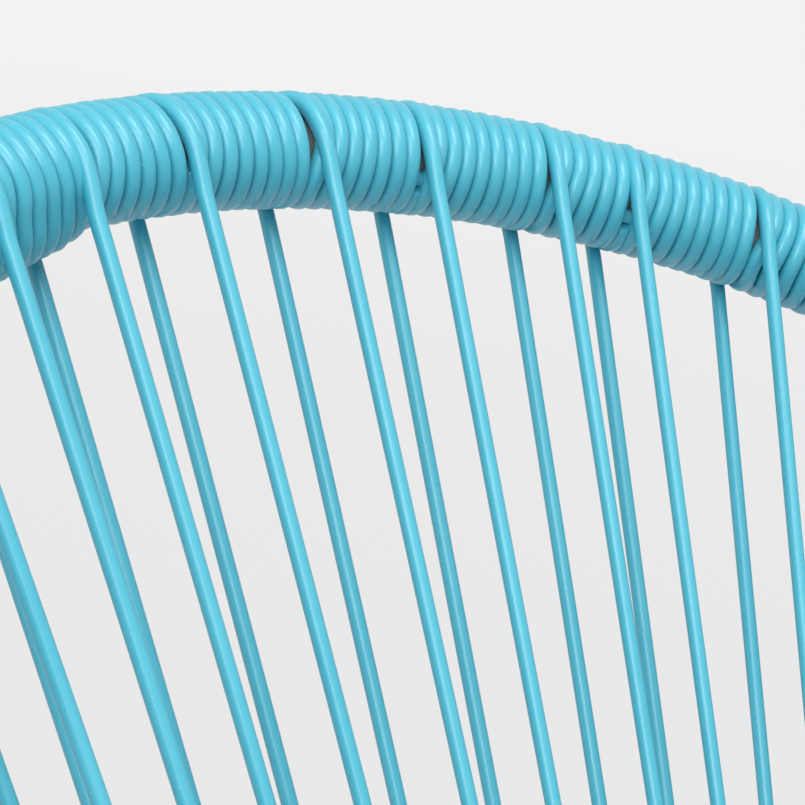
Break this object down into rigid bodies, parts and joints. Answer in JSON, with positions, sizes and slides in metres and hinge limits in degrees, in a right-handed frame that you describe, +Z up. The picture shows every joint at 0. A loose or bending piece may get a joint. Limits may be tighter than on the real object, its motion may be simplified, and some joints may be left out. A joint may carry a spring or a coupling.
{
  "type": "corded lounge chair",
  "caption": "Low lounge chair with an egg-shaped tube rim wound in vinyl cord, cords strung from the rim to a small ring to form the bowl seat, on bent rod legs.",
  "frame": {"origin": "on the floor, under the middle of the chair's overall box", "axes": "+Z up, the chair faces -Y, +X to the right of someone who stands in front of it"},
  "size_m": [0.7612, 0.8552, 0.913],
  "materials": {
    "frame_steel": "satin grey",
    "glide_plastic": "matt black",
    "cord_vinyl": "semi-gloss"
  },
  "bodies": {
    "root": {"rim_tube": "frame_steel", "ring_rod": "frame_steel", "leg_front_left": "frame_steel", "leg_front_right": "frame_steel", "leg_rear_yoke": "frame_steel", "leg_rear_strut": "frame_steel", "glide_front_left": "glide_plastic", "glide_front_right": "glide_plastic", "glide_rear": "glide_plastic", "cord_strand_01": "cord_vinyl", "cord_strand_02": "cord_vinyl", "cord_strand_03": "cord_vinyl", "cord_strand_04": "cord_vinyl", "cord_strand_05": "cord_vinyl", "cord_strand_06": "cord_vinyl", "cord_strand_07": "cord_vinyl", "cord_strand_08": "cord_vinyl", "cord_strand_09": "cord_vinyl", "cord_strand_10": "cord_vinyl", "cord_strand_11": "cord_vinyl", "cord_strand_12": "cord_vinyl", "cord_strand_13": "cord_vinyl", "cord_strand_14": "cord_vinyl", "cord_strand_15": "cord_vinyl", "cord_strand_16": "cord_vinyl", "cord_strand_17": "cord_vinyl", "cord_strand_18": "cord_vinyl", "cord_strand_19": "cord_vinyl", "cord_strand_20": "cord_vinyl", "cord_strand_21": "cord_vinyl", "cord_strand_22": "cord_vinyl", "cord_strand_23": "cord_vinyl", "cord_strand_24": "cord_vinyl", "cord_strand_25": "cord_vinyl", "cord_strand_26": "cord_vinyl", "cord_strand_27": "cord_vinyl", "cord_strand_28": "cord_vinyl", "cord_strand_29": "cord_vinyl", "cord_strand_30": "cord_vinyl", "cord_strand_31": "cord_vinyl", "cord_strand_32": "cord_vinyl", "cord_strand_33": "cord_vinyl"}
  },
  "joints": []
}
